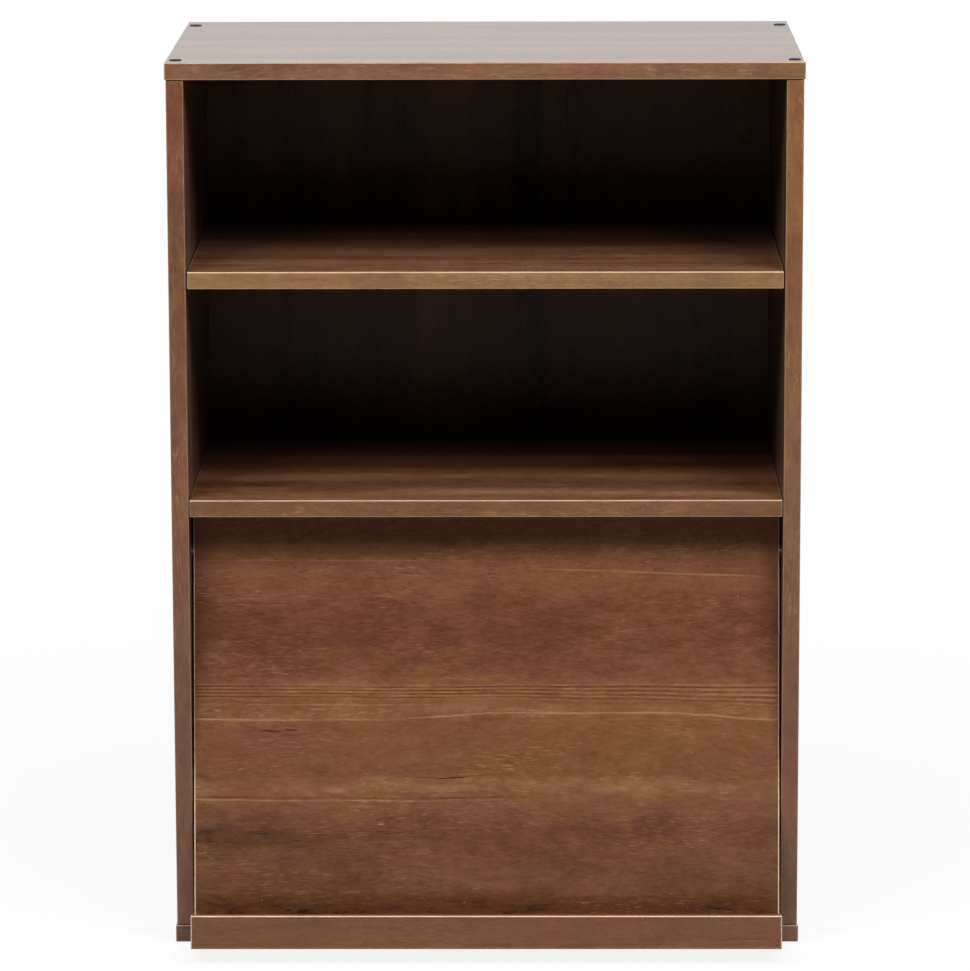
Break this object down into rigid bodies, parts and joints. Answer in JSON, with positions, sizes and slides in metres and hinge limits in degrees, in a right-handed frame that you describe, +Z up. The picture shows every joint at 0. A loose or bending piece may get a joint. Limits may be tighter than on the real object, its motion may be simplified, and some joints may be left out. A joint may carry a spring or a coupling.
{
  "type": "shelf case with an up-and-over display door",
  "caption": "Upright wood-foil shelf case with an open loose shelf and fixed shelf over a bay shut by a leaning display door that lifts and slides back.",
  "frame": {"origin": "centre of the base board's underside, on the floor", "axes": "+X to the viewer's right, +Y to the back, +Z up"},
  "size_m": [0.6, 0.4461, 0.8518],
  "materials": {
    "walnut_foil": "walnut print foil over particle board, satin, fine pores along the grain",
    "back_foil": "dark walnut print paper on thin fibreboard, matt",
    "beech": "plain fluted beech dowel",
    "zinc_steel": "bright zinc plated",
    "die_cast_zinc": "die cast zinc, dull",
    "black_plastic": "satin dark brown-black plastic",
    "white_nylon": "natural white nylon",
    "grey_rubber": "soft grey rubber"
  },
  "bodies": {
    "case": {"back_panel": "back_foil", "back_screw_1": "zinc_steel", "back_screw_2": "zinc_steel", "back_screw_3": "zinc_steel", "base_board": "walnut_foil", "base_screw_left_front": "zinc_steel", "base_screw_left_rear": "zinc_steel", "base_screw_right_front": "zinc_steel", "base_screw_right_rear": "zinc_steel", "cam_bolt_left_front": "zinc_steel", "cam_bolt_left_rear": "zinc_steel", "cam_bolt_right_front": "zinc_steel", "cam_bolt_right_rear": "zinc_steel", "cam_lock_left_front": "die_cast_zinc", "cam_lock_left_rear": "die_cast_zinc", "cam_lock_right_front": "die_cast_zinc", "cam_lock_right_rear": "die_cast_zinc", "fixed_shelf": "walnut_foil", "loose_shelf": "walnut_foil", "screw_cap_left_front": "black_plastic", "screw_cap_left_rear": "black_plastic", "screw_cap_right_front": "black_plastic", "screw_cap_right_rear": "black_plastic", "shelf_dowel_left_front": "beech", "shelf_dowel_left_rear": "beech", "shelf_dowel_right_front": "beech", "shelf_dowel_right_rear": "beech", "shelf_peg_left_front": "white_nylon", "shelf_peg_left_rear": "white_nylon", "shelf_peg_right_front": "white_nylon", "shelf_peg_right_rear": "white_nylon", "side_panel_left": "walnut_foil", "side_panel_right": "walnut_foil", "top_board": "walnut_foil", "top_screw_left_front": "zinc_steel", "top_screw_left_rear": "zinc_steel", "top_screw_right_front": "zinc_steel", "top_screw_right_rear": "zinc_steel"},
    "runners": {"runner_left": "white_nylon", "runner_right": "white_nylon"},
    "door": {"door_bumper_left": "grey_rubber", "door_bumper_right": "grey_rubber", "door_panel": "walnut_foil", "guide_pin_left": "black_plastic", "guide_pin_right": "black_plastic", "lip_board": "walnut_foil", "lip_dowel_1": "beech", "lip_dowel_2": "beech", "lip_dowel_3": "beech", "lip_dowel_4": "beech", "pivot_pin_left": "zinc_steel", "pivot_pin_right": "zinc_steel", "tray_board": "walnut_foil", "tray_screw_1": "zinc_steel", "tray_screw_2": "zinc_steel", "tray_screw_3": "zinc_steel"}
  },
  "joints": [
    {"name": "door_slide", "type": "slide", "parent": "case", "child": "runners", "axis": [0, 1, 0], "range_m": [0, 0.2699]},
    {"name": "door_swing", "type": "hinge", "parent": "runners", "child": "door", "pos_m": [0, -0.13789, 0.37704], "axis": [-1, 0, 0], "range_deg": [0, 81]}
  ],
  "couplings": [
    {"joint": "door_slide", "follows": "door_swing", "m_per_rad": 0.19091}
  ]
}
